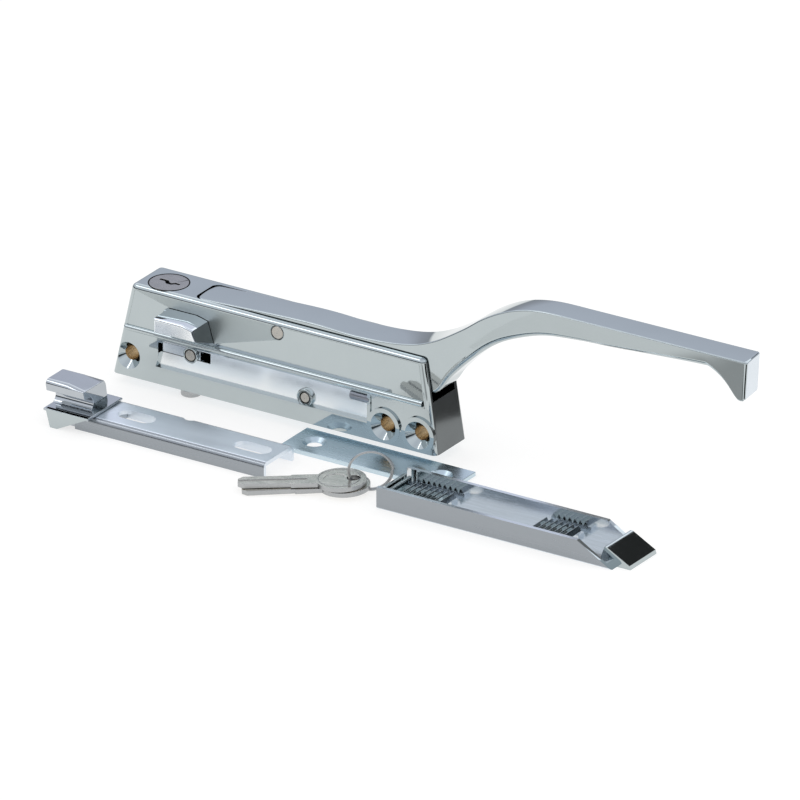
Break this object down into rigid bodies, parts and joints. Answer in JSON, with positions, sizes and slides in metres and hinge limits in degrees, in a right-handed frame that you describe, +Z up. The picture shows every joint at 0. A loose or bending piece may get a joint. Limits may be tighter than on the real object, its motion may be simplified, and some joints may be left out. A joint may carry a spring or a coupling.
{
  "type": "offset handle latch",
  "caption": "Chrome offset handle latch with a key lock and spring bolt, laid out with its hook strike, serrated strike, shim plate and keys on a split ring.",
  "frame": {"origin": "middle of the whole set's footprint, on the surface that it lies on", "axes": "+X along the latch from its lock end to the grip's tip, +Y away from the bolt's side through the latch, +Z up from the surface"},
  "size_m": [0.2842, 0.0842, 0.0743],
  "materials": {
    "chrome_casting": "mirror chrome plate on a zinc die casting",
    "chrome_sheet": "bright chrome plate on folded steel",
    "zinc_plating": "bright blue zinc plate, faintly brushed",
    "steel_pin": "bare turned steel",
    "spring_steel": "spring wire",
    "nickel": "satin nickel plate"
  },
  "bodies": {
    "latch_body": {"housing": "chrome_casting", "base_cover": "zinc_plating", "cover_screws": "zinc_plating", "cover_lugs": "steel_pin", "handle_pin": "steel_pin", "guide_pin": "steel_pin", "guide_rod": "steel_pin", "crank_pin": "steel_pin", "lock_body": "nickel", "lock_clip": "spring_steel", "bolt_spring": "spring_steel", "draw_spring": "spring_steel"},
    "handle_body": {"handle": "chrome_casting"},
    "bolt_body": {"bolt": "chrome_casting"},
    "crank_body": {"bell_crank": "zinc_plating"},
    "draw_body": {"draw_bar": "zinc_plating", "draw_pin": "steel_pin", "slide_block": "chrome_sheet"},
    "plug_body": {"lock_plug": "nickel", "lock_cam": "zinc_plating"},
    "hook_strike_body": {"strike_bar": "chrome_sheet", "strike_hook": "chrome_casting"},
    "serrated_strike_body": {"strike_channel": "chrome_casting"},
    "shim_body": {"shim_plate": "zinc_plating"},
    "ring_body": {"key_ring": "nickel"},
    "key_a_body": {"key_a": "nickel"},
    "key_b_body": {"key_b": "nickel"}
  },
  "joints": [
    {"name": "handle_pull", "type": "hinge", "parent": "latch_body", "child": "handle_body", "pos_m": [-0.0671, 0.03112, 0.038], "axis": [0, -1, 0], "range_deg": [0, 5.8], "stiffness_Nm_per_rad": 8, "springref_deg": -1.15},
    {"name": "crank_turn", "type": "hinge", "parent": "latch_body", "child": "crank_body", "pos_m": [-0.0741, 0.02942, 0.012], "axis": [0, 0, -1], "range_deg": [0, 21.05]},
    {"name": "draw_slide", "type": "slide", "parent": "latch_body", "child": "draw_body", "axis": [1, 0, 0], "range_m": [0, 0.00221], "deforming": ["draw_spring"]},
    {"name": "bolt_slide", "type": "slide", "parent": "latch_body", "child": "bolt_body", "axis": [0, 1, 0], "range_m": [0, 0.00935], "deforming": ["bolt_spring"]},
    {"name": "lock_turn", "type": "hinge", "parent": "latch_body", "child": "plug_body", "pos_m": [-0.1221, 0.02983, 0.034], "axis": [0, 0, -1], "range_deg": [0, 90]},
    {"name": "hook_strike_lift", "type": "slide", "parent": "latch_body", "child": "hook_strike_body", "axis": [0, 0, 1], "range_m": [0, 0.06]},
    {"name": "serrated_strike_lift", "type": "slide", "parent": "latch_body", "child": "serrated_strike_body", "axis": [0, 0, 1], "range_m": [0, 0.06]},
    {"name": "shim_push", "type": "slide", "parent": "latch_body", "child": "shim_body", "axis": [1, 0, 0], "range_m": [0, 0.06]},
    {"name": "ring_lift", "type": "slide", "parent": "latch_body", "child": "ring_body", "axis": [0, 0, 1], "range_m": [0, 0.06]},
    {"name": "key_a_turn", "type": "hinge", "parent": "ring_body", "child": "key_a_body", "pos_m": [-0.0092, -0.01624, 0.00475], "axis": [-0.0328, -0.02, 0.9993], "range_deg": [-8, 8]},
    {"name": "key_b_turn", "type": "hinge", "parent": "ring_body", "child": "key_b_body", "pos_m": [-0.00746, -0.01545, 0.0028], "axis": [-0.0317, -0.0217, 0.9993], "range_deg": [-8, 8]}
  ],
  "couplings": [
    {"joint": "crank_turn", "follows": "handle_pull", "ratio": 3.6207},
    {"joint": "draw_slide", "follows": "handle_pull", "m_per_rad": 0.021733},
    {"joint": "bolt_slide", "follows": "handle_pull", "m_per_rad": 0.091871}
  ]
}
